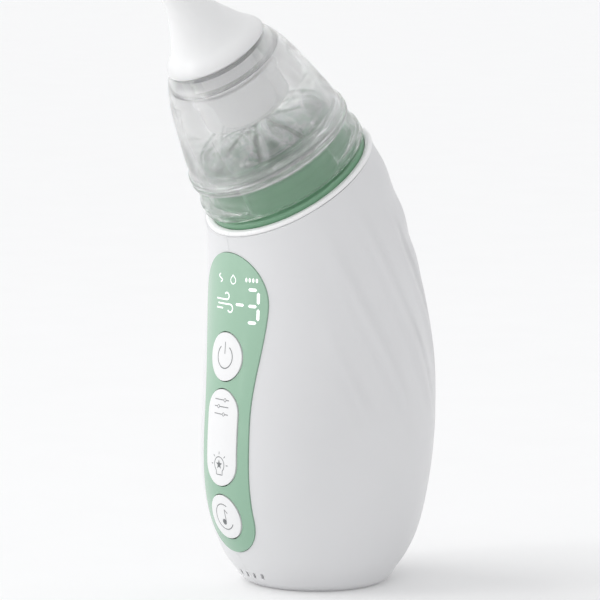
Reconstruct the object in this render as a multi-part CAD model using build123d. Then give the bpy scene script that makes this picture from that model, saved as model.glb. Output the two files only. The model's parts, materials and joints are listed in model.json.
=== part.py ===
from build123d import *
import math
import os

# Handheld electric nasal aspirator, in millimetres.
# The handle stands on its flat base at Z = 0, the front panel faces -Y, and the head leans forward.

# ---------------------------------------------------------------- driving dimensions
# Body stations from base to neck: front point (Y, Z), back point (Y, Z), half width along X
BODY_STATIONS = [
    ((-16.5, 0.0), (16.5, 0.0), 16.8),
    ((-17.9, 0.7), (17.9, 0.7), 18.0),
    ((-19.6, 2.4), (19.6, 2.4), 19.2),
    ((-21.9, 5.2), (21.9, 5.2), 20.8),
    ((-24.7, 9.8), (25.2, 9.8), 22.6),
    ((-28.0, 18.8), (28.3, 18.8), 25.0),
    ((-29.4, 37.5), (31.0, 37.5), 27.0),
    ((-27.9, 56.0), (29.9, 56.0), 27.6),
    ((-27.0, 70.0), (26.6, 73.0), 26.6),
    ((-26.8, 78.5), (22.4, 87.0), 25.6),
    ((-27.0, 85.0), (16.0, 102.6), 24.2),
    ((-28.2, 89.6), (8.9, 115.0), 22.5),
]
WALL = 2.1                    # casing wall
SEAM_GAP = 0.03               # half of the parting line between the two shells

HEAD_TILT = 34.5              # lean of the head axis from the vertical, degrees
HEAD_CENTRE = (0, -9.65, 102.3)
NECK_RADIUS = 22.65           # outside of the collar ring
RING_LEVEL = -1.5             # middle of the collar ring along the head axis
SEAT_RADIUS = 20.9            # green seat inside the collar ring
BOSS_RADIUS = 18.7            # green boss that the cup plugs over
BOSS_TOP = 7.0                # height of the boss along the head axis
CUP_FOOT = 1.2                # lower edge of the cup's skirt
CUP_TOP = 38.6
SLEEVE_RADIUS = 11.2

PANEL_BOTTOM = 9.7
PANEL_TOP = 83.7
PANEL_PROUD = 0.3
PANEL_THICK = 1.5
POWER_Z = 58.3
POWER_RADIUS = 5.9
ROCKER_Z = 38.5
ROCKER_LENGTH = 23.7
ROCKER_WIDTH = 11.5
MUSIC_Z = 18.8
MUSIC_RADIUS = 5.5
BUTTON_GAP = 0.25
BUTTON_PROUD = 0.55
STEM_END_Y = -25.75           # inner end of the button stems
PAD_TOP_Y = -25.2             # tips of the rubber pad behind them

BOARD_FRONT_Y = -23.4
BOARD_THICK = 1.2
MOTOR_Y = -8.0
MOTOR_RADIUS = 12.2
MOTOR_BOTTOM = 16.0
MOTOR_TOP = 44.0
SHAFT_RADIUS = 1.0
SHAFT_TOP = 50.5
PUMP_HALF = 12.4
PUMP_TOP = 73.0
CRANK_TILT = 6.0              # lean of the crank pin, degrees
CRANK_PIVOT_Z = 59.0          # where the pin's axis crosses the motor's
CHASSIS_FRONT_Y = 5.0
CHASSIS_THICK = 1.8
CHASSIS_HALF = 20.5
BATTERY_HALF = 15.5
BATTERY_Z = (22.0, 68.0)
BATTERY_THICK = 10.0
PORT_Z = 14.6
INLET_Y = -2.5                # suction barb on the pump head

HEAD = Plane(
    origin=HEAD_CENTRE,
    x_dir=(1, 0, 0),
    z_dir=(0, -math.sin(math.radians(HEAD_TILT)), math.cos(math.radians(HEAD_TILT))),
)


# ---------------------------------------------------------------- shared shapes
def turned(*points):
    """Solid of revolution about Z from a closed outline of (radius, height) corners."""
    outline = make_face(Polyline(*points, close=True))
    return revolve(Plane.XZ * outline, Axis.Z)


def turned_edges(*edges):
    """Solid of revolution about Z from joined edges drawn in (radius, height)."""
    return revolve(Plane.XZ * make_face(list(edges)), Axis.Z)


def rod(radius, bottom, top, x=0.0, y=0.0):
    """Upright cylinder."""
    return Pos(x, y, (bottom + top) / 2) * Cylinder(radius, top - bottom)


def tube(outer, inner, bottom, top, x=0.0, y=0.0):
    return rod(outer, bottom, top, x, y) - rod(inner, bottom - 1, top + 1, x, y)


def block(x_span, y_span, z_span):
    """Box from three (low, high) pairs."""
    size = [high - low for low, high in (x_span, y_span, z_span)]
    middle = [(high + low) / 2 for low, high in (x_span, y_span, z_span)]
    return Pos(*middle) * Box(*size)


def along_y(radius, y_span, x, z):
    """Cylinder whose axis runs along Y."""
    middle = (y_span[0] + y_span[1]) / 2
    return Pos(x, middle, z) * Rot(90, 0, 0) * Cylinder(radius, y_span[1] - y_span[0])


def along_x(radius, x_span, y, z):
    """Cylinder whose axis runs along X."""
    middle = (x_span[0] + x_span[1]) / 2
    return Pos(middle, y, z) * Rot(0, 90, 0) * Cylinder(radius, x_span[1] - x_span[0])


def rounded_bar(width, length, y_span, z):
    """Upright obround (button outline) pushed along Y."""
    outline = Plane.XZ * Pos(0, z) * SlotOverall(length, width, rotation=90)
    depth = y_span[1] - y_span[0]
    return Pos(0, y_span[0], 0) * extrude(outline, depth, dir=(0, 1, 0))


# ---------------------------------------------------------------- body form
def smooth_curve(knots, values):
    """Natural cubic through the given values, returned as a function of the knot coordinate."""
    last = len(knots) - 1
    gaps = [knots[i + 1] - knots[i] for i in range(last)]
    slopes = [(values[i + 1] - values[i]) / gaps[i] for i in range(last)]
    bends = [0.0] * (last + 1)
    weights = [0.0] * (last + 1)
    for i in range(1, last):
        pivot = 2 * (gaps[i - 1] + gaps[i]) - gaps[i - 1] * weights[i - 1]
        weights[i] = gaps[i] / pivot
        bends[i] = (6 * (slopes[i] - slopes[i - 1]) - gaps[i - 1] * bends[i - 1]) / pivot
    for i in range(last - 1, 0, -1):
        bends[i] -= weights[i] * bends[i + 1]

    def value_at(position):
        i = 0
        while i < last - 1 and position > knots[i + 1]:
            i += 1
        after = (position - knots[i]) / gaps[i]
        before = 1 - after
        bow = (before**3 - before) * bends[i] + (after**3 - after) * bends[i + 1]
        return before * values[i] + after * values[i + 1] + bow * gaps[i] ** 2 / 6

    return value_at


heights = [(front[1] + back[1]) / 2 for front, back, _ in BODY_STATIONS]
front_y = smooth_curve(heights, [front[0] for front, _, _ in BODY_STATIONS])
front_z = smooth_curve(heights, [front[1] for front, _, _ in BODY_STATIONS])
back_y = smooth_curve(heights, [back[0] for _, back, _ in BODY_STATIONS])
back_z = smooth_curve(heights, [back[1] for _, back, _ in BODY_STATIONS])
width_x = smooth_curve(heights, [half for _, _, half in BODY_STATIONS])


def body_frame(height):
    """Front point, back point and half width of the body at a mean height."""
    front = Vector(0, front_y(height), front_z(height))
    back = Vector(0, back_y(height), back_z(height))
    return front, back, width_x(height)


def smooth_step(value, low, high):
    share = min(max((value - low) / (high - low), 0.0), 1.0)
    return share * share * (3 - 2 * share)


def feather(angle, z):
    """Relief of the wing pattern: long feathers low on the flanks, short ones behind the neck."""
    drop = 77.0 - z
    spacing = max(31.0 - 0.42 * drop, 20.0)
    turn = 2 * math.pi * (angle - 66.0 - 1.14 * drop) / spacing
    long_wave = math.sin(turn + 0.35 * math.sin(turn))
    flank = smooth_step(angle, 52, 88) * (1 - smooth_step(angle, 150, 176))
    long_window = flank * smooth_step(z, 42, 60) * (1 - smooth_step(z, 82, 100))
    short_wave = math.cos(2 * math.pi * (z - 108.5 + 0.12 * (180 - angle)) / 11.5)
    short_window = smooth_step(angle, 100, 135) * smooth_step(z, 74, 86) * (1 - smooth_step(z, 106, 113))
    return 0.3 * long_wave * long_window + 0.24 * short_wave * short_window


def body_ring(height, offset, relief):
    """Closed curve round the body at a mean height, grown by offset."""
    front, back, half_width = body_frame(height)
    centre = (front + back) / 2
    reach = (back - front) / 2
    half_depth = reach.length
    rearward = reach / half_depth
    count = 96 if relief else 24
    points = []
    for step in range(count):
        turn = 2 * math.pi * step / count
        side = (half_width + offset) * math.sin(turn)
        depth = -(half_depth + offset) * math.cos(turn)
        point = centre + Vector(side, 0, 0) + rearward * depth
        if relief:
            lift = feather(math.degrees(min(turn, 2 * math.pi - turn)), point.Z)
            point += Vector(lift * math.sin(turn), 0, 0) + rearward * (-lift * math.cos(turn))
        points.append(point)
    return Wire([Edge.make_spline(points, periodic=True)])


def body_solid(offset, bottom=0.0, relief=False):
    """The whole body form, grown by offset, from a mean height up to the rim plane."""
    low = [0.0, 0.35, 0.9, 1.8, 3.2, 5.2, 7.8, 11.0, 15.0, 20.0, 26.0, 32.0, 38.0]
    start = 42.0
    count = round((heights[-1] - start) / (2.75 if relief else 6.0))
    high = [start + (heights[-1] - start) * step / count for step in range(count + 1)]
    levels = [bottom] + [level for level in low + high if level > bottom + 0.3]
    return Solid.make_loft([body_ring(level, offset, relief) for level in levels])


def above_rim(level):
    """Everything beyond a plane across the head axis."""
    return HEAD.location * Pos(0, 0, level + 30) * Box(120, 120, 60)


outer_form = body_solid(0.0, relief=True)
inner_form = body_solid(-WALL, bottom=2.3)
boss_form = body_solid(-WALL + 0.6, bottom=2.0)


# ---------------------------------------------------------------- front panel and its buttons
def panel_half_width(z):
    """Half width of the green panel: wide at the display, slim at the waist."""
    return 8.9 + 3.2 * smooth_step(z, 44, 73)


def panel_outline(shrink, y_span):
    """Panel outline pushed along Y: wavy sides closed by round ends."""
    top_radius = panel_half_width(PANEL_TOP) - shrink
    low_radius = panel_half_width(PANEL_BOTTOM) - shrink
    top_z = PANEL_TOP - shrink - top_radius
    low_z = PANEL_BOTTOM + shrink + low_radius
    knots = [low_z, 30, 38, 46, 54, 62, 68, top_z]
    right = [(panel_half_width(z) - shrink, z) for z in knots]
    left = [(-x, z) for x, z in reversed(right)]
    edges = [
        Spline(*right, tangents=[(0, 1), (0, 1)]),
        ThreePointArc(right[-1], (0, PANEL_TOP - shrink), left[0]),
        Spline(*left, tangents=[(0, -1), (0, -1)]),
        ThreePointArc(left[-1], (0, PANEL_BOTTOM + shrink), right[0]),
    ]
    face = Plane.XZ * make_face(edges)
    return Pos(0, y_span[0], 0) * extrude(face, y_span[1] - y_span[0], dir=(0, 1, 0))


FRONT_SPAN = (-34.0, -14.0)
panel_face_form = body_solid(PANEL_PROUD, bottom=1.0)
panel_back_form = body_solid(PANEL_PROUD - PANEL_THICK, bottom=1.0)
button_face_form = body_solid(BUTTON_PROUD, bottom=1.0)
button_back_form = body_solid(BUTTON_PROUD - 2.2, bottom=1.0)

BUTTONS = {
    "power_button": (POWER_Z, 2 * POWER_RADIUS, 2 * POWER_RADIUS + 0.01),
    "rocker_button": (ROCKER_Z, ROCKER_WIDTH, ROCKER_LENGTH),
    "music_button": (MUSIC_Z, 2 * MUSIC_RADIUS, 2 * MUSIC_RADIUS + 0.01),
}


def front_panel():
    panel = (panel_outline(0.0, FRONT_SPAN) & panel_face_form) - panel_back_form
    for z, width, length in BUTTONS.values():
        panel -= rounded_bar(width + 2 * BUTTON_GAP, length + 2 * BUTTON_GAP, FRONT_SPAN, z)
    return panel


def button(name):
    """Cap that follows the panel's curve, with stems reaching in to the rubber pad."""
    z, width, length = BUTTONS[name]
    cap = (rounded_bar(width, length, FRONT_SPAN, z) & button_face_form) - button_back_form
    stems = [-6.5, 6.5] if name == "rocker_button" else [0.0]
    for shift in stems:
        cap += along_y(1.6, (-27.2, STEM_END_Y), 0, z + shift)
    return cap


# ---------------------------------------------------------------- casing
SPEAKER_SLOTS = [-4.2, -1.4, 1.4, 4.2]
PIN_SPOTS = [(22.8, 40.0), (21.5, 64.0), (12.0, 88.0), (-17.0, 86.0), (8.0, 6.6)]
CHASSIS_SCREWS = [(-18.4, 24.0), (18.4, 24.0), (-18.4, 70.0), (18.4, 70.0)]


def speaker_slot(x):
    """Small slanted sound slot through the round foot of the front."""
    return Pos(x, -20.0, 3.5) * Rot(35, 0, 0) * Rot(0, 20, 0) * Box(0.8, 9.0, 2.0)


def casing_openings():
    window = panel_outline(1.6, FRONT_SPAN)
    recess = panel_outline(-0.1, FRONT_SPAN) - body_solid(PANEL_PROUD - PANEL_THICK - 0.05, bottom=1.0)
    port_slot = Rot(90, 0, 0) * extrude(SlotOverall(9.4, 3.6), 9.0)
    openings = [window, recess, Pos(0, 31.0, PORT_Z) * port_slot, rod(13.1, -1.0, 1.05)]
    return openings + [speaker_slot(x) for x in SPEAKER_SLOTS]


OPENINGS = casing_openings()


def shell(side):
    """One half of the casing: side is 1 for the right shell and -1 for the left."""
    far = (SEAM_GAP, 60.0) if side > 0 else (-60.0, -SEAM_GAP)
    half_space = block(far, (-60, 60), (-10, 150))
    hollow = outer_form - inner_form
    part = hollow & half_space
    for y, z in PIN_SPOTS:
        span = (SEAM_GAP, 34.0) if side > 0 else (-34.0, -SEAM_GAP)
        part += along_x(2.3, span, y, z) & boss_form
    for x, z in CHASSIS_SCREWS:
        if x * side > 0:
            lug = block((min(x - 2.6 * side, 34 * side), max(x - 2.6 * side, 34 * side)),
                        (CHASSIS_FRONT_Y + CHASSIS_THICK, 13.0), (z - 3, z + 3))
            lug &= boss_form
            part += lug - along_y(0.8, (6.0, 12.0), x, z)
    part -= above_rim(RING_LEVEL - 0.75)
    for opening in OPENINGS:
        part -= opening
    for y, z in PIN_SPOTS:
        if side > 0:
            part -= along_x(1.05, (-1.0, 3.6), y, z)
        else:
            part += along_x(0.95, (-0.2, 3.2), y, z)
    return part


def collar_ring():
    """White trim ring that closes the neck, with a spigot inside the shells."""
    foot = RING_LEVEL - 0.65
    top = RING_LEVEL + 0.25
    flange = RING_LEVEL - 0.1
    inner = SEAT_RADIUS + 0.1
    return HEAD.location * turned_edges(
        Line((20.25, foot), (NECK_RADIUS, foot)),
        ThreePointArc((NECK_RADIUS, foot), (22.5, RING_LEVEL - 0.05), (22.0, top)),
        Line((22.0, top), (21.3, top)),
        ThreePointArc((21.3, top), (21.12, top - 0.05), (inner, top - 0.2)),
        Line((inner, top - 0.2), (inner, flange)),
        Line((inner, flange), (18.7, flange)),
        Line((18.7, flange), (18.7, -4.6)),
        Line((18.7, -4.6), (20.0, -4.6)),
        Line((20.0, -4.6), (20.25, foot)),
    )


def foot_pad():
    return rod(13.0, 0.0, 1.0)


# ---------------------------------------------------------------- head: seat, gasket, lamp
def cup_seat():
    """Green boss with a ledge, a domed top and the suction nipple beneath."""
    ledge = RING_LEVEL + 1.5
    profile = turned_edges(
        Line((1.7, -6.4), (3.3, -6.4)),
        Line((3.3, -6.4), (3.3, -1.0)),
        Line((3.3, -1.0), (16.2, -1.0)),
        Line((16.2, -1.0), (16.2, -2.8)),
        Line((16.2, -2.8), (18.5, -2.8)),
        Line((18.5, -2.8), (18.5, RING_LEVEL)),
        Line((18.5, RING_LEVEL), (SEAT_RADIUS, RING_LEVEL)),
        Line((SEAT_RADIUS, RING_LEVEL), (SEAT_RADIUS, ledge - 0.5)),
        ThreePointArc((SEAT_RADIUS, ledge - 0.5), (20.75, ledge - 0.15), (20.4, ledge)),
        Line((20.4, ledge), (BOSS_RADIUS, ledge)),
        Line((BOSS_RADIUS, ledge), (18.3, 6.2)),
        ThreePointArc((18.3, 6.2), (18.0, 6.8), (17.4, BOSS_TOP)),
        Line((17.4, BOSS_TOP), (9.0, BOSS_TOP)),
        Line((9.0, BOSS_TOP), (8.4, 5.6)),
        Line((8.4, 5.6), (6.6, 5.6)),
        Line((6.6, 5.6), (6.0, BOSS_TOP - 0.4)),
        Line((6.0, BOSS_TOP - 0.4), (3.6, BOSS_TOP - 0.4)),
        Line((3.6, BOSS_TOP - 0.4), (3.6, 2.0)),
        Line((3.6, 2.0), (1.7, 2.0)),
        Line((1.7, 2.0), (1.7, -6.4)),
    )
    return HEAD.location * profile


def seat_gasket():
    """Soft ring in the groove round the suction port."""
    return HEAD.location * turned((6.9, 5.7), (8.2, 5.7), (8.0, 7.2), (7.1, 7.2))


def night_lamp():
    """Ring board with eight light-emitting diodes under the translucent seat."""
    board = tube(15.2, 8.0, -5.6, -4.6)
    for step in range(8):
        angle = math.radians(45 * step + 22.5)
        board += block((-1.2, 1.2), (-1.2, 1.2), (-4.7, -3.6)).moved(
            Pos(11.6 * math.cos(angle), 11.6 * math.sin(angle), 0)
        )
    return HEAD.location * board


# ---------------------------------------------------------------- collection cup
def collection_cup():
    """Clear thick-walled dome with a skirt, a double bead and a neck opening."""
    outside = Spline((20.3, 12.0), (19.9, 15.0), (18.6, 20.8), (16.75, 28.5), (14.6, 34.0), (12.3, 37.6))
    inside = Spline((14.6, 30.0), (15.9, 24.5), (17.2, 18.0), (17.8, 12.2))
    return HEAD.location * turned_edges(
        Line((19.7, CUP_FOOT), (21.5, CUP_FOOT)),
        ThreePointArc((21.5, CUP_FOOT), (21.75, 1.3), (21.85, 1.6)),
        Line((21.85, 1.6), (21.75, 3.3)),
        ThreePointArc((21.75, 3.3), (21.2, 4.1), (20.95, 5.3)),
        Line((20.95, 5.3), (20.7, 8.3)),
        ThreePointArc((20.7, 8.3), (21.3, 9.0), (20.75, 9.7)),
        ThreePointArc((20.75, 9.7), (21.2, 10.4), (20.6, 11.1)),
        Line((20.6, 11.1), (20.3, 12.0)),
        outside,
        ThreePointArc((12.3, 37.6), (11.6, 38.35), (10.7, CUP_TOP)),
        Line((10.7, CUP_TOP), (9.4, CUP_TOP)),
        Line((9.4, CUP_TOP), (9.4, 35.4)),
        Line((9.4, 35.4), (11.35, 35.4)),
        Line((11.35, 35.4), (11.35, 32.6)),
        Line((11.35, 32.6), (13.4, 32.2)),
        Line((13.4, 32.2), (14.6, 30.0)),
        inside,
        Line((17.8, 12.2), (17.9, 9.7)),
        Line((17.9, 9.7), (19.5, 9.5)),
        Line((19.5, 9.5), (19.7, CUP_FOOT)),
    )


def cup_base():
    """Clear floor of the cup: dished plate, spigot, air chimney and petal-like ribs."""
    plate = turned_edges(
        Line((2.6, 7.4), (19.2, 7.4)),
        Line((19.2, 7.4), (19.3, 9.35)),
        Line((19.3, 9.35), (17.75, 9.5)),
        Line((17.75, 9.5), (17.6, 12.6)),
        Line((17.6, 12.6), (16.3, 12.6)),
        ThreePointArc((16.3, 12.6), (14.6, 10.0), (11.6, 9.0)),
        Line((11.6, 9.0), (5.4, 9.6)),
        Line((5.4, 9.6), (4.2, 19.0)),
        Line((4.2, 19.0), (2.6, 19.0)),
        Line((2.6, 19.0), (2.6, 7.4)),
    )
    petal = turned_edges(
        Line((5.0, 9.3), (11.0, 9.0)),
        ThreePointArc((11.0, 9.0), (13.6, 9.6), (15.4, 11.6)),
        ThreePointArc((15.4, 11.6), (11.0, 14.2), (4.7, 15.4)),
        Line((4.7, 15.4), (5.0, 9.3)),
    )
    for step in range(8):
        angle = 45 * step
        blade = Rot(0, 0, angle) * Pos(10, 0, 12) * Box(12, 1.3, 10)
        plate += petal & blade
    for step in range(3):
        angle = 120 * step + 60
        plate -= Rot(0, 0, angle) * block((2.0, 6.0), (-1.4, 1.4), (16.2, 18.2))
    return HEAD.location * plate


def baffle_cap():
    """Mushroom cap on the chimney that keeps liquid out of the air way."""
    cap = turned_edges(
        Line((0.0, 18.4), (2.5, 18.4)),
        Line((2.5, 18.4), (2.5, 19.1)),
        Line((2.5, 19.1), (4.6, 19.1)),
        Line((4.6, 19.1), (6.6, 18.5)),
        Line((6.6, 18.5), (7.0, 18.9)),
        Spline((7.0, 18.9), (5.2, 20.5), (2.8, 21.3), (0.0, 21.6), tangents=[(-0.2, 1), (-1, 0)]),
        Line((0.0, 21.6), (0.0, 18.4)),
    )
    return HEAD.location * cap


def inner_sleeve():
    """Frosted drip sleeve that hangs under the tip inside the cup."""
    return HEAD.location * turned(
        (SLEEVE_RADIUS - 1.3, 20.4), (SLEEVE_RADIUS - 0.3, 20.2), (SLEEVE_RADIUS, 20.6),
        (SLEEVE_RADIUS, 30.0), (10.4, 30.4), (10.4, 33.2), (9.7, 33.2),
    )


def tip_collar():
    """Translucent ring between the sleeve and the neck opening, with two beads outside."""
    return HEAD.location * turned_edges(
        Line((10.45, 30.5), (11.0, 30.5)),
        ThreePointArc((11.0, 30.5), (11.3, 31.0), (11.0, 31.5)),
        Line((11.0, 31.5), (11.0, 32.0)),
        ThreePointArc((11.0, 32.0), (11.3, 32.5), (11.3, 33.0)),
        Line((11.3, 33.0), (11.3, 35.35)),
        Line((11.3, 35.35), (9.45, 35.35)),
        Line((9.45, 35.35), (9.45, 33.3)),
        Line((9.45, 33.3), (10.45, 33.3)),
        Line((10.45, 33.3), (10.45, 30.5)),
    )


# ---------------------------------------------------------------- silicone tip
# Distance along the head axis, outer radius and forward shift of each level of the soft tip
TIP_LEVELS = [
    (37.4, 13.0, 0.0),
    (38.6, 12.4, 0.0),
    (41.2, 10.1, -0.1),
    (43.9, 8.5, -0.35),
    (47.6, 6.5, -0.85),
    (51.0, 5.2, -1.15),
    (55.4, 4.1, -1.5),
    (60.2, 3.3, -1.95),
    (66.0, 2.8, -2.45),
    (69.2, 2.6, -2.75),
]
TIP_LEAN = 4.5                # further lean of the tip's own axis, degrees
TIP_END = 70.0


def tip_circle(level, radius, shift, share):
    lean = Plane(origin=(0, shift, level)).rotated((TIP_LEAN * share, 0, 0))
    return lean * Circle(radius)


def silicone_tip():
    """Soft bell that covers the cup's neck and tapers to the nozzle."""
    last = len(TIP_LEVELS) - 1
    outer = loft([tip_circle(t, r, s, i / last) for i, (t, r, s) in enumerate(TIP_LEVELS)])
    inner_levels = [(35.0, 7.6, 0.0), (40.0, 7.2, 0.0)]
    inner_levels += [(t, max(r - 1.5, 1.3), s) for t, r, s in TIP_LEVELS[3:]]
    inner_levels.append((TIP_END + 1.5, 1.3, -2.9))
    top = len(inner_levels) - 1
    bore = loft([tip_circle(t, r, s, i / top) for i, (t, r, s) in enumerate(inner_levels)])
    neck_room = turned_edges(
        Line((0.0, 30.0), (13.6, 30.0)),
        Line((13.6, 30.0), (13.6, 36.9)),
        Line((13.6, 36.9), (12.5, 37.95)),
        ThreePointArc((12.5, 37.95), (11.75, 38.65), (10.7, 38.95)),
        Line((10.7, 38.95), (0.0, 38.95)),
        Line((0.0, 38.95), (0.0, 30.0)),
    )
    plug = turned_edges(
        Line((7.6, 34.6), (8.9, 34.6)),
        ThreePointArc((8.9, 34.6), (9.25, 35.0), (9.3, 35.6)),
        Line((9.3, 35.6), (9.3, 39.4)),
        Line((9.3, 39.4), (7.6, 39.4)),
        Line((7.6, 39.4), (7.6, 34.6)),
    )
    return HEAD.location * ((outer - neck_room) + plug - bore)


# ---------------------------------------------------------------- boards and controls
def main_board():
    board = block((-7.0, 7.0), (BOARD_FRONT_Y, BOARD_FRONT_Y + BOARD_THICK), (15.5, 81.0))
    for x, z, half in [(-3.5, 48.0, 2.5), (3.0, 30.0, 1.8), (3.5, 66.0, 2.2), (-4.0, 22.0, 1.5)]:
        board += block((x - half, x + half), (-22.3, -21.0), (z - half, z + half))
    return board


def tact_switches():
    """Four snap switches on the board, under the button stems."""
    spots = [POWER_Z, ROCKER_Z + 6.5, ROCKER_Z - 6.5, MUSIC_Z]
    return Compound([
        block((-2.2, 2.2), (-24.2, BOARD_FRONT_Y), (z - 2.2, z + 2.2)) + along_y(1.0, (-24.5, -24.1), 0, z)
        for z in spots
    ])


def button_pad():
    """Rubber sheet with a pip for each switch."""
    sheet = block((-3.4, 3.4), (-25.0, -24.6), (17.6, 64.0))
    for z in (POWER_Z, ROCKER_Z + 6.5, ROCKER_Z - 6.5, MUSIC_Z):
        sheet += along_y(1.8, (PAD_TOP_Y, -24.8), 0, z)
    return sheet


def display_module():
    """Light guide with digit cells behind the upper panel."""
    body = block((-5.8, 5.8), (-24.7, BOARD_FRONT_Y), (66.0, 80.0))
    for x in (-3.6, 0.0, 3.6):
        body -= block((x - 1.3, x + 1.3), (-26.0, -24.0), (68.0, 78.0))
    return body


def speaker():
    """Small round sound unit above the foot."""
    frame = tube(7.0, 6.0, 2.6, 5.6, y=-9.0) + rod(6.5, 5.4, 6.0, y=-9.0)
    return frame + rod(3.0, 5.8, 7.6, y=-9.0)


def charge_board():
    return block((-7.0, 7.0), (9.0, 22.5), (11.4, 12.5))


def charge_port():
    """Reversible charging socket with its tongue."""
    outer = Pos(0, 26.4, PORT_Z) * Rot(90, 0, 0) * extrude(SlotOverall(8.9, 3.1), 7.0)
    hollow = Pos(0, 27.0, PORT_Z) * Rot(90, 0, 0) * extrude(SlotOverall(8.3, 2.5), 6.6)
    tongue = block((-3.3, 3.3), (19.6, 25.4), (PORT_Z - 0.35, PORT_Z + 0.35))
    feet = block((-4.0, 4.0), (19.8, 23.6), (12.5, 13.3))
    return (outer + feet) - hollow + tongue


# ---------------------------------------------------------------- chassis and battery
def chassis():
    """Moulded plate across the handle with half clamps for the motor."""
    back = CHASSIS_FRONT_Y + CHASSIS_THICK
    plate = block((-CHASSIS_HALF, CHASSIS_HALF), (CHASSIS_FRONT_Y, back), (16.0, 76.0))
    plate -= block((-9.0, 9.0), (0.0, 9.0), (30.0, 38.0))
    for low, high in ((18.0, 24.0), (37.0, 42.0)):
        clamp = tube(14.0, MOTOR_RADIUS + 0.05, low, high, y=MOTOR_Y)
        plate += clamp & block((-20, 20), (MOTOR_Y, CHASSIS_FRONT_Y + 0.5), (low, high))
    for x, z in CHASSIS_SCREWS:
        plate -= along_y(1.3, (0.0, 9.0), x, z)
    return plate


def chassis_screws():
    return Compound([
        along_y(2.2, (CHASSIS_FRONT_Y - 1.4, CHASSIS_FRONT_Y), x, z)
        + along_y(0.8, (CHASSIS_FRONT_Y - 0.2, 11.5), x, z)
        - along_y(0.7, (CHASSIS_FRONT_Y - 1.6, CHASSIS_FRONT_Y - 0.7), x, z)
        for x, z in CHASSIS_SCREWS
    ])


def battery_foam():
    back = CHASSIS_FRONT_Y + CHASSIS_THICK
    return block((-12.0, 12.0), (back, back + 0.6), (BATTERY_Z[0] + 2, BATTERY_Z[1] - 2))


def battery_cell():
    """Flat lithium pouch with a folded top seam."""
    front = CHASSIS_FRONT_Y + CHASSIS_THICK + 0.6
    body = block((-BATTERY_HALF, BATTERY_HALF), (front, front + BATTERY_THICK), BATTERY_Z)
    body = fillet(body.edges().filter_by(Axis.Z), 2.0)
    seam_top = BATTERY_Z[1] + 4.0
    return body + block((-13.0, 13.0), (front + 1.5, front + 3.0), (BATTERY_Z[1] - 0.5, seam_top))


# ---------------------------------------------------------------- motor
def motor_can():
    can = rod(MOTOR_RADIUS, MOTOR_BOTTOM, MOTOR_TOP) - rod(11.4, MOTOR_BOTTOM - 1, MOTOR_TOP - 1.0)
    can -= rod(3.0, MOTOR_TOP - 2, MOTOR_TOP + 1)
    return can.moved(Pos(0, MOTOR_Y, 0))


def motor_bushes():
    top = tube(3.0, SHAFT_RADIUS + 0.03, MOTOR_TOP - 2.4, MOTOR_TOP, y=MOTOR_Y)
    low = tube(2.6, SHAFT_RADIUS + 0.03, 14.6, 16.4, y=MOTOR_Y)
    return Compound([top, low])


def motor_magnets():
    ring = tube(11.35, 9.6, 20.0, 39.0, y=MOTOR_Y)
    gap = block((-2.0, 2.0), (MOTOR_Y - 13, MOTOR_Y + 13), (19.0, 40.0))
    return ring - gap


def motor_end_cap():
    cap = rod(11.35, 14.4, 17.6) - rod(2.6, 14.0, 16.4) - rod(10.0, 16.4, 18.0)
    for side in (-1, 1):
        cap += block((side * 7 - 0.4, side * 7 + 0.4), (-1.2, 1.2), (11.6, 14.6))
    return cap.moved(Pos(0, MOTOR_Y, 0))


def rotor_core():
    """Three-pole armature with its commutator."""
    core = rod(9.0, 23.0, 36.5)
    for step in range(3):
        core -= Rot(0, 0, 120 * step) * block((5.2, 12.0), (-0.9, 0.9), (22.0, 38.0))
        core -= Rot(0, 0, 120 * step) * block((3.4, 6.0), (-2.6, 2.6), (22.0, 38.0))
    core += rod(2.6, 17.6, 23.2)
    return (core - rod(SHAFT_RADIUS, 10, 60)).moved(Pos(0, MOTOR_Y, 0))


def motor_shaft():
    return rod(SHAFT_RADIUS, 14.7, SHAFT_TOP, y=MOTOR_Y)


# ---------------------------------------------------------------- diaphragm pump
CRANK = Plane(origin=(0, MOTOR_Y, CRANK_PIVOT_Z)).rotated((CRANK_TILT, 0, 0))
PUMP_SCREW_SPOTS = [(-10.0, MOTOR_Y - 10.0), (10.0, MOTOR_Y - 10.0), (-10.0, MOTOR_Y + 10.0),
                    (10.0, MOTOR_Y + 10.0)]


def pump_square(bottom, top):
    body = block((-PUMP_HALF, PUMP_HALF), (MOTOR_Y - PUMP_HALF, MOTOR_Y + PUMP_HALF), (bottom, top))
    return fillet(body.edges().filter_by(Axis.Z), 3.0)


def screw_ways(radius):
    return Compound([rod(radius, 40.0, 80.0, x, y) for x, y in PUMP_SCREW_SPOTS])


def eccentric():
    """Hub pressed on the shaft, with a leaning bore for the crank pin."""
    hub = rod(5.2, 46.2, 53.6, y=MOTOR_Y)
    pin_bore = CRANK.location * rod(0.8, -12.0, 2.0)
    return hub - rod(SHAFT_RADIUS, 40.0, SHAFT_TOP, y=MOTOR_Y) - (pin_bore & upper_half(SHAFT_TOP + 0.5))


def upper_half(level):
    return block((-40, 40), (-50, 30), (level, level + 60))


def crank_pin():
    pin = CRANK.location * rod(0.8, -12.0, 1.6)
    return pin & upper_half(SHAFT_TOP + 0.5)


def wobble_spider():
    """Three-armed driver that rocks on the crank pin."""
    spider = tube(2.2, 0.83, -4.6, 1.4)
    for step in range(3):
        spider += Rot(0, 0, 120 * step + 30) * block((1.8, 8.6), (-1.5, 1.5), (-1.2, 0.4))
        spider += Rot(0, 0, 120 * step + 30) * Pos(7.4, 0, 0) * rod(1.9, -1.2, 0.9)
    spider -= rod(0.83, -6.0, 3.0)
    return CRANK.location * spider


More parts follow.
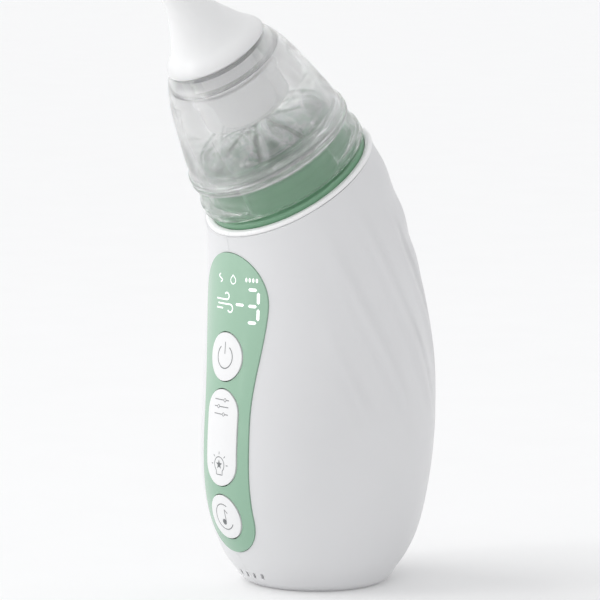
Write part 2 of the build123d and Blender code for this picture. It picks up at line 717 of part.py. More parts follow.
def pump_body():
    """Cup that bolts to the motor and holds the diaphragm's edge."""
    body = pump_square(MOTOR_TOP, 62.0) - rod(10.8, 45.6, 63.0, y=MOTOR_Y)
    body -= rod(3.4, MOTOR_TOP - 1, 47.0, y=MOTOR_Y)
    return body - screw_ways(1.1)


def pump_diaphragm():
    """Rubber sheet with three cups above the spider's arms."""
    sheet = pump_square(62.0, 63.2)
    for step in range(3):
        angle = math.radians(120 * step + 30)
        x, y = 7.4 * math.cos(angle), MOTOR_Y + 7.4 * math.sin(angle)
        sheet += rod(3.3, 61.2, 63.0, x, y)
        sheet -= rod(2.6, 62.0, 64.0, x, y)
    return sheet - screw_ways(1.1)


def valve_plate():
    plate = pump_square(63.2, 66.2)
    for step in range(3):
        angle = math.radians(120 * step + 30)
        plate -= rod(0.8, 60, 70, 5.0 * math.cos(angle), MOTOR_Y + 5.0 * math.sin(angle))
        plate -= rod(0.8, 60, 70, 9.2 * math.cos(angle), MOTOR_Y + 9.2 * math.sin(angle))
    return plate - screw_ways(1.1)


def valve_flaps():
    """Thin rubber sheet of one-way flaps."""
    sheet = pump_square(66.2, 66.7)
    for step in range(3):
        slit = tube(2.0, 1.6, 66.0, 67.0) - block((0.0, 3.0), (-0.8, 0.8), (65.0, 68.0))
        angle = 120 * step + 30
        spot = Pos(7.2 * math.cos(math.radians(angle)), MOTOR_Y + 7.2 * math.sin(math.radians(angle)), 0)
        sheet -= spot * Rot(0, 0, angle) * slit
    return sheet - screw_ways(1.1)


def pump_head():
    """Top cover with the suction and exhaust barbs."""
    head = pump_square(66.7, PUMP_TOP) - tube(10.2, 6.6, 66.0, 71.5, y=MOTOR_Y)
    head -= rod(5.6, 66.0, 71.5, y=MOTOR_Y)
    head += rod(2.6, PUMP_TOP - 1, PUMP_TOP + 5.5, y=INLET_Y)
    head -= rod(1.5, 70.0, PUMP_TOP + 7, y=INLET_Y)
    head += rod(2.2, PUMP_TOP - 1, PUMP_TOP + 4.5, x=7.4, y=MOTOR_Y - 4.0)
    head -= rod(1.2, 70.0, PUMP_TOP + 6, x=7.4, y=MOTOR_Y - 4.0)
    return head - screw_ways(1.1)


def pump_screws():
    heads = [rod(1.9, PUMP_TOP, PUMP_TOP + 1.3, x, y) + rod(1.0, 48.0, PUMP_TOP + 0.2, x, y)
             for x, y in PUMP_SCREW_SPOTS]
    return Compound([head - rod(0.6, PUMP_TOP + 0.7, PUMP_TOP + 2, x, y)
                     for head, (x, y) in zip(heads, PUMP_SCREW_SPOTS)])


def suction_hose():
    """Hose from the pump's suction barb up to the nipple under the seat."""
    forward = HEAD.z_dir
    start = Vector(0, INLET_Y, PUMP_TOP + 0.3)
    nipple = Vector(*HEAD_CENTRE) + forward * -1.6
    climb = (INLET_Y - HEAD_CENTRE[1]) / forward.Y
    corner = Vector(*HEAD_CENTRE) + forward * climb
    path = FilletPolyline(start, corner, nipple, radius=13.0)
    outer = sweep(Plane(origin=start, z_dir=(0, 0, 1)) * Circle(4.6), path=path)
    bore = sweep(Plane(origin=start, z_dir=(0, 0, 1)) * Circle(3.35), path=path)
    return outer - bore


def exhaust_hose():
    """Short hose that vents the pump inside the handle."""
    x, y = 7.4, MOTOR_Y - 4.0
    start = Vector(x, y, PUMP_TOP + 0.4)
    path = FilletPolyline(start, (x, y, PUMP_TOP + 9.0), (x + 6.0, y + 8.0, PUMP_TOP + 10.0), radius=4.5)
    outer = sweep(Plane(origin=start, z_dir=(0, 0, 1)) * Circle(3.2), path=path)
    bore = sweep(Plane(origin=start, z_dir=(0, 0, 1)) * Circle(2.25), path=path)
    return outer - bore


# ---------------------------------------------------------------- write the sub-parts
SUB_PARTS = {
    "left_shell": shell(-1),
    "right_shell": shell(1),
    "collar_ring": collar_ring(),
    "foot_pad": foot_pad(),
    "cup_seat": cup_seat(),
    "seat_gasket": seat_gasket(),
    "night_lamp": night_lamp(),
    "front_panel": front_panel(),
    "power_button": button("power_button"),
    "rocker_button": button("rocker_button"),
    "music_button": button("music_button"),
    "button_pad": button_pad(),
    "tact_switches": tact_switches(),
    "main_board": main_board(),
    "display_module": display_module(),
    "speaker": speaker(),
    "charge_board": charge_board(),
    "charge_port": charge_port(),
    "chassis": chassis(),
    "chassis_screws": chassis_screws(),
    "battery_foam": battery_foam(),
    "battery_cell": battery_cell(),
    "motor_can": motor_can(),
    "motor_bushes": motor_bushes(),
    "motor_magnets": motor_magnets(),
    "motor_end_cap": motor_end_cap(),
    "rotor_core": rotor_core(),
    "motor_shaft": motor_shaft(),
    "eccentric": eccentric(),
    "crank_pin": crank_pin(),
    "wobble_spider": wobble_spider(),
    "pump_body": pump_body(),
    "pump_diaphragm": pump_diaphragm(),
    "valve_plate": valve_plate(),
    "valve_flaps": valve_flaps(),
    "pump_head": pump_head(),
    "pump_screws": pump_screws(),
    "suction_hose": suction_hose(),
    "exhaust_hose": exhaust_hose(),
    "collection_cup": collection_cup(),
    "cup_base": cup_base(),
    "baffle_cap": baffle_cap(),
    "inner_sleeve": inner_sleeve(),
    "tip_collar": tip_collar(),
    "silicone_tip": silicone_tip(),
}

os.makedirs("parts", exist_ok=True)
for name, sub_part in SUB_PARTS.items():
    export_step(sub_part, f"parts/{name}.step")
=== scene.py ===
import json
import math

import bmesh
import bpy
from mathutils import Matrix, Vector
from mathutils.bvhtree import BVHTree


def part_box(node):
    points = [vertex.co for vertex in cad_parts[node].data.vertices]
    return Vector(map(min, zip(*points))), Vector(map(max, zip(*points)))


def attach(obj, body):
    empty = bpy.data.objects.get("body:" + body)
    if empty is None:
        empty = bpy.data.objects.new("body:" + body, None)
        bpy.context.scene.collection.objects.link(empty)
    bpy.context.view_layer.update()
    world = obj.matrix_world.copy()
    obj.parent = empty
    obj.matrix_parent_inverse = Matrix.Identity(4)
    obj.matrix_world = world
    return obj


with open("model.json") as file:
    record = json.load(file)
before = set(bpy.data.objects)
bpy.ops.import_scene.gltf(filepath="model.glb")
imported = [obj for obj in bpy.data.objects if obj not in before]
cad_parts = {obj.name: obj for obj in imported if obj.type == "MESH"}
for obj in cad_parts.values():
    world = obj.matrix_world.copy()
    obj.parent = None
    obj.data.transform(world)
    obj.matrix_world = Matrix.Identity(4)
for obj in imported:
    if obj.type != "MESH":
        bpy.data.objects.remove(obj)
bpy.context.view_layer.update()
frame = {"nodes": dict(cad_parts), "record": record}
MM = 0.001

# ---------------------------------------------------------------- driving values
# Feather lines on the flanks: degrees round from the front (-Y), metres up from the floor
FEATHER_TURN = 61.0                       # the wave rises through its middle here, at FEATHER_TOP
FEATHER_TOP = 0.077
FEATHER_SLANT = 1140.0                    # degrees further round for each metre down
FEATHER_PITCH = 27.0                      # degrees from one line to the next
FEATHER_DEPTH = 0.00075
FEATHER_SIDE = (50, 76)                   # fades in round the side
FEATHER_BACK = (172, 150)                 # fades out towards the back
FEATHER_FOOT = (0.036, 0.052)             # fades in above the foot
FEATHER_NECK = (0.103, 0.082)             # fades out towards the neck

NOISE_SPAN = (0.3, 0.7)                   # values that a noise texture mostly stays between

# Marks in general
MARK_LIFT = 0.00003                       # metres the print stands off the surface
MARK_CREASE = 60                          # degrees
STROKE_PITCH = 0.00035                    # metres between points along a stroke
CLOSED_GAP = 1e-6                         # metres between the ends of a closed stroke
RAY_START = -0.2                          # metres, well in front of the object

# Display marks on the panel, in millimetres: places are (x, z)
DIGIT_LEFT, DIGIT_RIGHT = 6.9, 9.75
DIGIT_LEVELS = (67.2, 71.2, 75.2)
DIGIT_GAP = 0.35                          # level bar to the upright bars
UPRIGHT_GAP = 0.5                         # upright bar to the levels
DIGIT_BAR, DASH_BAR, BATTERY_BAR = 0.8, 0.7, 0.6
DASH = ((2.9, 71.3), (5.7, 71.3))
BATTERY_LEFT, BATTERY_PITCH, BATTERY_COUNT = 6.3, 1.0, 4
BATTERY_LEVELS = (76.9, 78.1)
DROP_CENTRE, DROP_RADIUS, DROP_TIP = (1.9, 77.1), 0.9, (1.9, 78.4)
WAVE_MIDDLE, WAVE_FOOT, WAVE_SWING, WAVE_RISE = -3.2, 76.3, 0.75, 0.17
BREEZES = (                               # level, start, end, curl radius, up (1) or down (-1)
    (72.2, -4.9, -0.4, 0.85, 1),
    (71.1, -4.2, 0.9, 0.95, -1),
)
SHORT_BREEZE = [(-4.9, 70.0), (-2.0, 70.0)]
DROP_LINE, WAVE_LINE, BREEZE_LINE = 0.32, 0.42, 0.48

# Button marks, in millimetres from the middle of each button
POWER_RADIUS, POWER_LINE = 2.85, 0.38
POWER_BAR, POWER_BAR_LINE = (0.7, 3.6), 0.34
SLIDERS = ((9.3, 1.3), (7.6, -1.1), (5.8, 1.0))      # height of each row, place of its knob
SLIDER_REACH, KNOB_RADIUS, KNOB_LINE = 2.7, 0.4, 0.22
LAMP_DROP, LAMP_RADIUS, LAMP_NECK, LAMP_LINE = 6.6, 1.9, 1.0, 0.3
LAMP_RAYS = (2.55, 3.2)                   # where each ray starts and ends
THIN_LINE = 0.28
STAR_RADII = (1.25, 0.52)
MUSIC_RADIUS, MUSIC_LINE = 3.2, 0.32
NOTE_STEM = ((0.55, -1.2), (0.55, 1.9), (1.5, 1.0))
NOTE_HEAD, NOTE_RADIUS = (-0.15, -1.3), 0.75

# Studio, in metres
FLOOR_SIZE = 16
FLOOR_SHADES = (0.845, 0.855)
FLOOR_GLOW = 0.085
WORLD_COLOUR, WORLD_STRENGTH = (0.985, 0.99, 1.0, 1), 0.80
SUN_PLACE, SUN_STRENGTH, SUN_SPREAD = (-0.8, -0.75, 0.9), 1.05, 60
STRIP_PLACE, STRIP_TARGET = (-0.35, -0.75, 0.35), (0, 0, 0.09)
STRIP_SIZE, STRIP_POWER = (0.12, 0.6), 0.8
SENSOR = 36                               # millimetres


# ---------------------------------------------------------------- small mesh tools
def link(mesh, name):
    """Object for a mesh, linked into the scene."""
    piece = bpy.data.objects.new(name, mesh)
    bpy.context.scene.collection.objects.link(piece)
    return piece


def sharpen(piece, degrees):
    """Smooth shading that keeps edges sharper than the angle crisp."""
    for polygon in piece.data.polygons:
        polygon.use_smooth = True
    piece.data.set_sharp_from_angle(angle=math.radians(degrees))


# ---------------------------------------------------------------- materials
def new_material(name):
    """Material with its nodes, links, shader and object coordinates."""
    material = bpy.data.materials.new(name)
    material.use_nodes = True
    nodes, links = material.node_tree.nodes, material.node_tree.links
    shader = nodes["Principled BSDF"]
    place = nodes.new("ShaderNodeTexCoord")
    return material, nodes, links, shader, place.outputs["Object"]


def noise(nodes, links, place, scale, detail, stretch=(1, 1, 1)):
    """Noise texture in object space."""
    mapping = nodes.new("ShaderNodeMapping")
    mapping.inputs["Scale"].default_value = stretch
    links.new(place, mapping.inputs["Vector"])
    texture = nodes.new("ShaderNodeTexNoise")
    texture.inputs["Scale"].default_value = scale
    texture.inputs["Detail"].default_value = detail
    links.new(mapping.outputs["Vector"], texture.inputs["Vector"])
    return texture.outputs["Fac"]


def ramp(nodes, links, factor, low, high, span=NOISE_SPAN):
    """Colour ramp between two colours."""
    node = nodes.new("ShaderNodeValToRGB")
    node.color_ramp.elements[0].position = span[0]
    node.color_ramp.elements[1].position = span[1]
    node.color_ramp.elements[0].color = (*low, 1)
    node.color_ramp.elements[1].color = (*high, 1)
    links.new(factor, node.inputs["Fac"])
    return node.outputs["Color"]


def spread(nodes, links, factor, low, high):
    """Maps a noise texture onto a small range of values."""
    node = nodes.new("ShaderNodeMapRange")
    node.inputs["From Min"].default_value = NOISE_SPAN[0]
    node.inputs["From Max"].default_value = NOISE_SPAN[1]
    node.inputs["To Min"].default_value = low
    node.inputs["To Max"].default_value = high
    links.new(factor, node.inputs["Value"])
    return node.outputs["Result"]


def bump(nodes, links, shader, height, distance, strength=1.0, under=None):
    """Fine relief on the shader, laid over another normal if there is one."""
    node = nodes.new("ShaderNodeBump")
    node.inputs["Distance"].default_value = distance
    node.inputs["Strength"].default_value = strength
    links.new(height, node.inputs["Height"])
    if under is not None:
        links.new(under, node.inputs["Normal"])
    links.new(node.outputs["Normal"], shader.inputs["Normal"])


def plastic(name, colour, roughness, grain=1500, grain_depth=0.00001, coat=0.0, scatter=0.0, relief=None):
    """Moulded plastic: faint colour drift, fine spark-eroded grain and uneven gloss."""
    material, nodes, links, shader, place = new_material(name)
    drift = noise(nodes, links, place, scale=35, detail=2)
    darker = tuple(channel * 0.972 for channel in colour)
    links.new(ramp(nodes, links, drift, darker, colour), shader.inputs["Base Color"])
    gloss = noise(nodes, links, place, scale=240, detail=4)
    links.new(spread(nodes, links, gloss, roughness * 0.88, roughness * 1.12), shader.inputs["Roughness"])
    under = relief(nodes, links, place) if relief else None
    bump(nodes, links, shader, noise(nodes, links, place, scale=grain, detail=2), grain_depth, 0.5, under)
    shader.inputs["Coat Weight"].default_value = coat
    shader.inputs["Coat Roughness"].default_value = 0.06
    if scatter > 0:
        shader.inputs["Subsurface Weight"].default_value = scatter
        shader.inputs["Subsurface Radius"].default_value = (0.004, 0.004, 0.004)
        shader.inputs["Subsurface Scale"].default_value = 0.6
    return material


def clear_plastic(name, colour, roughness, ior, cover):
    """Polished transparent plastic with a faint flow pattern from moulding."""
    material, nodes, links, shader, place = new_material(name)
    flow = noise(nodes, links, place, scale=60, detail=2, stretch=(1, 1, 0.25))
    darker = tuple(channel * 0.985 for channel in colour)
    links.new(ramp(nodes, links, flow, darker, colour), shader.inputs["Base Color"])
    links.new(spread(nodes, links, flow, roughness, roughness + 0.012), shader.inputs["Roughness"])
    bump(nodes, links, shader, noise(nodes, links, place, scale=55, detail=1), 0.00004, 0.25)
    shader.inputs["Transmission Weight"].default_value = 1.0
    shader.inputs["IOR"].default_value = ior
    shader.inputs["Alpha"].default_value = cover
    return material


def silicone(name, colour, transmission, roughness, scatter=0.25):
    """Milky translucent silicone: soft gloss over a cloudy body."""
    material, nodes, links, shader, place = new_material(name)
    cloud = noise(nodes, links, place, scale=90, detail=3)
    darker = tuple(channel * 0.97 for channel in colour)
    links.new(ramp(nodes, links, cloud, darker, colour), shader.inputs["Base Color"])
    links.new(spread(nodes, links, cloud, roughness * 0.9, roughness * 1.1), shader.inputs["Roughness"])
    bump(nodes, links, shader, noise(nodes, links, place, scale=900, detail=2), 0.00001, 0.4)
    shader.inputs["Transmission Weight"].default_value = transmission
    shader.inputs["IOR"].default_value = 1.41
    shader.inputs["Subsurface Weight"].default_value = scatter
    shader.inputs["Subsurface Radius"].default_value = (0.003, 0.003, 0.003)
    shader.inputs["Subsurface Scale"].default_value = 0.8
    shader.inputs["Coat Weight"].default_value = 0.25
    shader.inputs["Coat Roughness"].default_value = 0.18
    return material


def panel_acrylic():
    """Glossy sage green, lighter from its foot up to the display at the top, with fine flecks."""
    low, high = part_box("front_panel")
    material, nodes, links, shader, place = new_material("panel_acrylic")
    axes = nodes.new("ShaderNodeSeparateXYZ")
    links.new(place, axes.inputs["Vector"])
    climb = nodes.new("ShaderNodeMapRange")
    climb.inputs["From Min"].default_value = low.z
    climb.inputs["From Max"].default_value = high.z
    links.new(axes.outputs["Z"], climb.inputs["Value"])
    # colour ramp by height only: darker green at the bottom, lighter green at the top
    shade = nodes.new("ShaderNodeValToRGB")
    shade.color_ramp.elements[0].position = 0.0
    shade.color_ramp.elements[0].color = (0.257, 0.443, 0.316, 1)
    shade.color_ramp.elements[1].position = 1.0
    shade.color_ramp.elements[1].color = (0.327, 0.515, 0.382, 1)
    links.new(climb.outputs["Result"], shade.inputs["Fac"])
    links.new(shade.outputs["Color"], shader.inputs["Base Color"])
    gloss = noise(nodes, links, place, scale=300, detail=3)
    links.new(spread(nodes, links, gloss, 0.10, 0.16), shader.inputs["Roughness"])
    bump(nodes, links, shader, noise(nodes, links, place, scale=45, detail=1), 0.00003, 0.2)
    shader.inputs["Coat Weight"].default_value = 0.6
    shader.inputs["Coat Roughness"].default_value = 0.04
    return material


def metal(name, colour, roughness, brushed=(1, 1, 12)):
    """Bare metal with a fine directional grain."""
    material, nodes, links, shader, place = new_material(name)
    grain = noise(nodes, links, place, scale=900, detail=4, stretch=brushed)
    darker = tuple(channel * 0.82 for channel in colour)
    links.new(ramp(nodes, links, grain, darker, colour), shader.inputs["Base Color"])
    links.new(spread(nodes, links, grain, roughness * 0.7, roughness * 1.3), shader.inputs["Roughness"])
    bump(nodes, links, shader, grain, 0.00001, 0.4)
    shader.inputs["Metallic"].default_value = 1.0
    return material


def calc(nodes, links, operation, first, second=0.0, third=0.0):
    """One arithmetic node; each input is a number or a socket."""
    node = nodes.new("ShaderNodeMath")
    node.operation = operation
    for socket, value in zip(node.inputs, (first, second, third)):
        if isinstance(value, (int, float)):
            socket.default_value = value
        else:
            links.new(value, socket)
    return node.outputs[0]


def window(nodes, links, value, low, high):
    """Smooth rise from 0 to 1 between two limits."""
    node = nodes.new("ShaderNodeMapRange")
    node.interpolation_type = "SMOOTHSTEP"
    node.inputs["From Min"].default_value = low
    node.inputs["From Max"].default_value = high
    links.new(value, node.inputs["Value"])
    return node.outputs["Result"]


def feather_relief(nodes, links, place):
    """Evenly spaced feather lines as a bump, over the shallow relief that the shells have."""
    axes = nodes.new("ShaderNodeSeparateXYZ")
    links.new(place, axes.inputs["Vector"])
    across = calc(nodes, links, "ABSOLUTE", axes.outputs["X"])
    forward = calc(nodes, links, "MULTIPLY", axes.outputs["Y"], -1.0)
    turn = calc(nodes, links, "ARCTAN2", across, forward)
    turn = calc(nodes, links, "MULTIPLY", turn, math.degrees(1))
    height = axes.outputs["Z"]
    drop = calc(nodes, links, "SUBTRACT", FEATHER_TOP, height)
    slid = calc(nodes, links, "MULTIPLY_ADD", drop, -FEATHER_SLANT, turn)
    phase = calc(nodes, links, "SUBTRACT", slid, FEATHER_TURN)
    wave = calc(nodes, links, "SINE", calc(nodes, links, "MULTIPLY", phase, 2 * math.pi / FEATHER_PITCH))
    lean = calc(nodes, links, "MULTIPLY_ADD", wave, 0.5, 0.5)
    crest = calc(nodes, links, "POWER", lean, 2.0)
    fades = ((turn, FEATHER_SIDE), (turn, FEATHER_BACK), (height, FEATHER_FOOT), (height, FEATHER_NECK))
    for value, limits in fades:
        crest = calc(nodes, links, "MULTIPLY", crest, window(nodes, links, value, *limits))
    ridges = nodes.new("ShaderNodeBump")
    ridges.inputs["Distance"].default_value = FEATHER_DEPTH
    ridges.inputs["Strength"].default_value = 1.0
    links.new(crest, ridges.inputs["Height"])
    return ridges.outputs["Normal"]


SHELL_WHITE = (0.738, 0.738, 0.747)
# plastic: colour, roughness, grain scale, grain depth in metres
# silicone: colour, transmission, roughness, share of scattered light; metal: colour, roughness
MATERIALS = {
    "white_shell": plastic("shell_plastic", SHELL_WHITE, 0.34, 1700, 0.000008, scatter=0.06,
                           relief=feather_relief),
    "white_trim": plastic("trim_plastic", (0.95, 0.95, 0.95), 0.30, 1500, 0.000006, scatter=0.12),
    "green_seat": plastic("seat_plastic", (0.180, 0.365, 0.225), 0.22, 1200, 0.000006, coat=0.3),
    "green_panel": panel_acrylic(),
    "white_button": plastic("button_plastic", (0.84, 0.84, 0.845), 0.32, 1500, 0.000006, scatter=0.10),
    "clear_cup": clear_plastic("cup_plastic", (0.999, 1.0, 1.0), 0.0, 1.44, 0.66),
    "frosted_sleeve": silicone("sleeve_plastic", (0.97, 0.97, 0.97), 0.08, 0.45, 0.3),
    "frosted_silicone": silicone("tip_silicone", (0.98, 0.98, 0.98), 0.10, 0.38, 0.4),
    "clear_silicone": silicone("hose_silicone", (0.85, 0.87, 0.87), 0.5, 0.3),
    "grey_rubber": plastic("grey_rubber", (0.42, 0.43, 0.44), 0.6, 900, 0.00002),
    "black_rubber": plastic("black_rubber", (0.02, 0.02, 0.02), 0.6, 900, 0.00002),
    "grey_plastic": plastic("nylon", (0.30, 0.31, 0.33), 0.5, 1200, 0.00002),
    "black_plastic": plastic("black_plastic", (0.02, 0.02, 0.02), 0.4),
    "circuit_board": plastic("board_mask", (0.02, 0.13, 0.06), 0.35, 700, 0.00002, coat=0.4),
    "steel": metal("plated_steel", (0.62, 0.62, 0.63), 0.28),
    "brass": metal("bronze", (0.62, 0.42, 0.18), 0.35),
    "magnet": plastic("ferrite", (0.05, 0.05, 0.055), 0.55),
    "rotor_iron": metal("laminations", (0.36, 0.22, 0.13), 0.42, (1, 1, 40)),
    "foam": plastic("foam", (0.05, 0.05, 0.055), 0.9, 500, 0.0001),
    "battery_wrap": plastic("battery_wrap", (0.10, 0.25, 0.52), 0.3, 300, 0.00005, coat=0.3),
}
# clear_plastic: colour, roughness, refraction, alpha
FLOOR_PLASTIC = clear_plastic("cup_floor_plastic", (1.0, 1.0, 1.0), 0.0, 1.42, 0.70)
SLOT_OF = {entry["node"]: entry["material_slot"] for entry in frame["record"]["subparts"]}

for node, piece in frame["nodes"].items():
    piece.data.materials.clear()
    piece.data.materials.append(MATERIALS[SLOT_OF[node]])
for node in ("cup_base", "baffle_cap"):
    frame["nodes"][node].data.materials[0] = FLOOR_PLASTIC


# ---------------------------------------------------------------- marks on the panel and buttons
def surface_of(node_name):
    """Lookup that drops a point onto the front of a node, from straight ahead (-Y)."""
    tree = BVHTree.FromObject(frame["nodes"][node_name], bpy.context.evaluated_depsgraph_get())

    def drop(x, z):
        place, normal = tree.ray_cast(Vector((x, RAY_START, z)), Vector((0, 1, 0)))[:2]
        return place, normal

    return drop


def resample(points, pitch):
    """Evenly spaced points along a broken line."""
    spots = [Vector(points[0])]
    for start, end in zip(points, points[1:]):
        start, end = Vector(start), Vector(end)
        count = max(1, math.ceil((end - start).length / pitch))
        spots += [start.lerp(end, step / count) for step in range(1, count + 1)]
    return spots


def arc(centre, radius, start, end, steps=24):
    """Points along an arc in the panel's (x, z) plane, angles in degrees from +x."""
    return [(centre[0] + radius * math.cos(math.radians(start + (end - start) * step / steps)),
             centre[1] + radius * math.sin(math.radians(start + (end - start) * step / steps)))
            for step in range(steps + 1)]


def mark_strokes(name, strokes, drop, material, body, lift=MARK_LIFT):
    """Raised printed lines that follow the surface: each stroke is (points in mm, width in mm)."""
    builder = bmesh.new()
    for points, width in strokes:
        spots = resample([(x * MM, z * MM) for x, z in points], STROKE_PITCH)
        closed = (spots[0] - spots[-1]).length < CLOSED_GAP and len(spots) > 3
        rails = []
        for index, spot in enumerate(spots):
            before = spots[index - 1] if index else (spots[-2] if closed else spot)
            after = spots[index + 1] if index < len(spots) - 1 else (spots[1] if closed else spot)
            along = (after - before).normalized()
            across = Vector((-along.y, along.x)) * width * MM / 2
            row = []
            for side in (-1, -0.5, 0, 0.5, 1):
                x, z = spot + across * side
                place, normal = drop(x, z)
                crown = lift * (1 - 0.7 * abs(side) ** 3)
                row.append(builder.verts.new(place + normal * (crown if abs(side) < 1 else -lift)))
            rails.append(row)
        for row, following in zip(rails, rails[1:]):
            for index in range(4):
                builder.faces.new((row[index], row[index + 1], following[index + 1], following[index]))
        for end in (rails[0], rails[-1]) if not closed else ():
            builder.faces.new(end)
    bmesh.ops.recalc_face_normals(builder, faces=builder.faces)
    mesh = bpy.data.meshes.new(name)
    builder.to_mesh(mesh)
    builder.free()
    piece = link(mesh, name)
    sharpen(piece, MARK_CREASE)
    piece.data.materials.append(material)
    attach(piece, body)


def mark_patch(name, outlines, drop, material, body, lift=MARK_LIFT):
    """Filled printed shapes: each outline is a convex or star-shaped loop in millimetres."""
    builder = bmesh.new()
    for outline in outlines:
        middle = sum((Vector(point) for point in outline), Vector((0, 0))) / len(outline)
        loops = []
        for share in (1.0, 0.97, 0.6, 0.25):
            loop = []
            for point in outline:
                x, z = (middle + (Vector(point) - middle) * share) * MM
                place, normal = drop(x, z)
                loop.append(builder.verts.new(place + normal * (-lift if share == 1.0 else lift)))
            loops.append(loop)
        place, normal = drop(*(middle * MM))
        centre = builder.verts.new(place + normal * lift)
        for outer, inner in zip(loops, loops[1:]):
            for index in range(len(outline)):
                after = (index + 1) % len(outline)
                builder.faces.new((outer[index], outer[after], inner[after], inner[index]))
        for index in range(len(outline)):
            builder.faces.new((loops[-1][index], loops[-1][(index + 1) % len(outline)], centre))
    bmesh.ops.recalc_face_normals(builder, faces=builder.faces)
    mesh = bpy.data.meshes.new(name)
    builder.to_mesh(mesh)
    builder.free()
    piece = link(mesh, name)
    sharpen(piece, MARK_CREASE)
    piece.data.materials.append(material)
    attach(piece, body)


def lit_ink():
    """White light that shows through the panel."""
    material, nodes, links, shader, place = new_material("lit_ink")
    glow = noise(nodes, links, place, scale=400, detail=2)
    links.new(ramp(nodes, links, glow, (0.93, 0.95, 0.93), (1, 1, 1)), shader.inputs["Base Color"])
    shader.inputs["Roughness"].default_value = 0.3
    shader.inputs["Emission Color"].default_value = (0.95, 1.0, 0.96, 1)
    shader.inputs["Emission Strength"].default_value = 0.35
    return material


LIT = lit_ink()
INK = plastic("grey_ink", (0.17, 0.18, 0.185), 0.45, 1800, 0.000004)
on_panel = surface_of("front_panel")


def segment(start, end, width=DIGIT_BAR):
    """One bar of the display: a six-cornered lozenge between two points."""
    start, end = Vector(start), Vector(end)
    along = (end - start).normalized()
    across = Vector((-along.y, along.x)) * width / 2
    inset = along * width / 2
    corners = (start, start + inset + across, end - inset + across, end,
               end - inset - across, start + inset - across)
    return [tuple(corner) for corner in corners]


def display_marks():
    """Level, dash, battery, drop, wave and breeze signs, lit from behind the panel."""
    low, middle, high = DIGIT_LEVELS
    bars = [segment((DIGIT_LEFT, level), (DIGIT_RIGHT - DIGIT_GAP, level)) for level in DIGIT_LEVELS]
    bars += [segment((DIGIT_RIGHT, low + UPRIGHT_GAP), (DIGIT_RIGHT, middle - UPRIGHT_GAP)),
             segment((DIGIT_RIGHT, middle + UPRIGHT_GAP), (DIGIT_RIGHT, high - UPRIGHT_GAP))]
    mark_patch("digit_bars", bars, on_panel, LIT, "handle")
    mark_patch("display_dash", [segment(*DASH, DASH_BAR)], on_panel, LIT, "handle")
    foot, top = BATTERY_LEVELS
    columns = [BATTERY_LEFT + BATTERY_PITCH * column for column in range(BATTERY_COUNT)]
    bars = [segment((column, foot), (column, top), BATTERY_BAR) for column in columns]
    mark_patch("battery_bars", bars, on_panel, LIT, "handle")
    drop_icon = arc(DROP_CENTRE, DROP_RADIUS, 130, 410) + [DROP_TIP]
    drop_icon.append(drop_icon[0])
    wave_icon = [(WAVE_MIDDLE + WAVE_SWING * math.sin(math.pi * step / 6), WAVE_FOOT + step * WAVE_RISE)
                 for step in range(13)]
    strokes = [(drop_icon, DROP_LINE), (wave_icon, WAVE_LINE)]
    for level, start, end, radius, curl in BREEZES:
        bend = arc((end, level + curl * radius), radius, -90 * curl, 150 * curl)
        strokes.append(([(start, level)] + bend, BREEZE_LINE))
    strokes.append((SHORT_BREEZE, BREEZE_LINE))
    mark_strokes("display_icons", strokes, on_panel, LIT, "handle")


def button_marks():
    """Printed signs on the three buttons: power, sliders over a lamp, and a note."""
    power_z, rocker_z, music_z = [sum((corner.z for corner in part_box(name)), 0) / 2 / MM
                                  for name in ("power_button", "rocker_button", "music_button")]
    on_power, on_rocker, on_music = [surface_of(name) for name in
                                     ("power_button", "rocker_button", "music_button")]
    bar = [(0, power_z + height) for height in POWER_BAR]
    mark_strokes("power_icon", [(arc((0, power_z), POWER_RADIUS, 125, 415, 36), POWER_LINE),
                                (bar, POWER_BAR_LINE)],
                 on_power, INK, "power_key")
    strokes = []
    for row, knob in SLIDERS:
        level = rocker_z + row
        strokes.append(([(-SLIDER_REACH, level), (knob - KNOB_RADIUS, level)], THIN_LINE))
        strokes.append(([(knob + KNOB_RADIUS, level), (SLIDER_REACH, level)], THIN_LINE))
        strokes.append((arc((knob, level), KNOB_RADIUS, 0, 360, 16), KNOB_LINE))
    lamp_z = rocker_z - LAMP_DROP
    lamp = arc((0, lamp_z), LAMP_RADIUS, -52, 232, 30)
    left, right = lamp[-1], lamp[0]
    lamp += [(left[0], left[1] - LAMP_NECK), (right[0], right[1] - LAMP_NECK), right]
    strokes.append((lamp, LAMP_LINE))
    for angle in (0, 45, 90, 135, 180):
        ray = Vector((math.cos(math.radians(angle)), math.sin(math.radians(angle))))
        ends = [tuple(Vector((0, lamp_z)) + ray * reach) for reach in LAMP_RAYS]
        strokes.append((ends, THIN_LINE))
    mark_strokes("rocker_icons", strokes, on_rocker, INK, "rocker_key")
    star = []
    for tip in range(10):
        radius = STAR_RADII[tip % 2]
        angle = math.radians(90 + 36 * tip)
        star.append((radius * math.cos(angle), lamp_z + radius * math.sin(angle)))
    mark_patch("rocker_star", [star], on_rocker, INK, "rocker_key")
    stem = [(x, music_z + height) for x, height in NOTE_STEM]
    strokes = [(arc((0, music_z), MUSIC_RADIUS, 60, 330, 36), MUSIC_LINE), (stem, MUSIC_LINE)]
    mark_strokes("music_icon", strokes, on_music, INK, "music_key")
    head = arc((NOTE_HEAD[0], music_z + NOTE_HEAD[1]), NOTE_RADIUS, 0, 345, 20)
    mark_patch("music_note_head", [head], on_music, INK, "music_key")


display_marks()
button_marks()


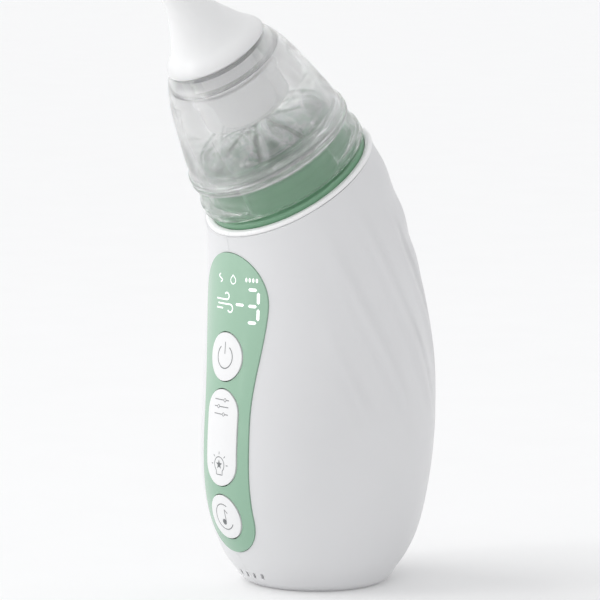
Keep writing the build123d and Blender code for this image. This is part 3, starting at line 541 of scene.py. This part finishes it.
# ---------------------------------------------------------------- floor, light and camera
def studio():
    """Near-white paper floor and an even white world."""
    bpy.ops.mesh.primitive_plane_add(size=FLOOR_SIZE, location=(0, 0, 0))
    floor = bpy.context.object
    floor.name = "floor"
    material, nodes, links, shader, place = new_material("floor_paper")
    grain = noise(nodes, links, place, scale=30, detail=3)
    low, high = [(shade, shade, shade) for shade in FLOOR_SHADES]
    links.new(ramp(nodes, links, grain, low, high), shader.inputs["Base Color"])
    shader.inputs["Roughness"].default_value = 0.9
    shader.inputs["Emission Color"].default_value = (1, 1, 1, 1)
    shader.inputs["Emission Strength"].default_value = FLOOR_GLOW
    floor.data.materials.append(material)
    world = bpy.data.worlds.new("studio")
    world.use_nodes = True
    world.node_tree.nodes["Background"].inputs["Color"].default_value = WORLD_COLOUR
    world.node_tree.nodes["Background"].inputs["Strength"].default_value = WORLD_STRENGTH
    bpy.context.scene.world = world


def aim(lamp, place, target):
    """Puts a lamp in the scene, pointing at the target."""
    bpy.context.scene.collection.objects.link(lamp)
    lamp.location = place
    lamp.rotation_euler = (Vector(target) - Vector(place)).to_track_quat("-Z", "Y").to_euler()


def soft_sun(name, place, strength, spread_degrees):
    """Even light over the whole floor, soft-edged by the spread angle."""
    data = bpy.data.lights.new(name, "SUN")
    data.energy = strength
    data.angle = math.radians(spread_degrees)
    aim(bpy.data.objects.new(name, data), place, (0, 0, 0))


def soft_box(name, place, target, size, power):
    """Rectangular area light."""
    data = bpy.data.lights.new(name, "AREA")
    data.shape = "RECTANGLE"
    data.size, data.size_y = size
    data.energy = power
    aim(bpy.data.objects.new(name, data), place, target)


VIEW_AZIMUTH = math.radians(52)
VIEW_ELEVATION = math.radians(7)
VIEW_DISTANCE = 0.9
VIEW_WIDTH = 0.150                                   # width of the object plane that fills the picture
VIEW_TARGET = Vector((-0.0091, 0.0021, 0.0690))


def camera():
    """Camera placed and aimed by the VIEW values."""
    data = bpy.data.cameras.new("camera")
    data.sensor_width = SENSOR
    data.lens = SENSOR * VIEW_DISTANCE / VIEW_WIDTH
    eye = bpy.data.objects.new("camera", data)
    bpy.context.scene.collection.objects.link(eye)
    toward = Vector((math.sin(VIEW_AZIMUTH) * math.cos(VIEW_ELEVATION),
                     -math.cos(VIEW_AZIMUTH) * math.cos(VIEW_ELEVATION), math.sin(VIEW_ELEVATION)))
    eye.location = VIEW_TARGET + toward * VIEW_DISTANCE
    eye.rotation_euler = (-toward).to_track_quat("-Z", "Y").to_euler()
    bpy.context.scene.camera = eye


studio()
soft_sun("window_sun", SUN_PLACE, SUN_STRENGTH, SUN_SPREAD)
soft_box("strip_box", STRIP_PLACE, STRIP_TARGET, STRIP_SIZE, STRIP_POWER)
camera()
bpy.context.scene.view_settings.view_transform = "Standard"
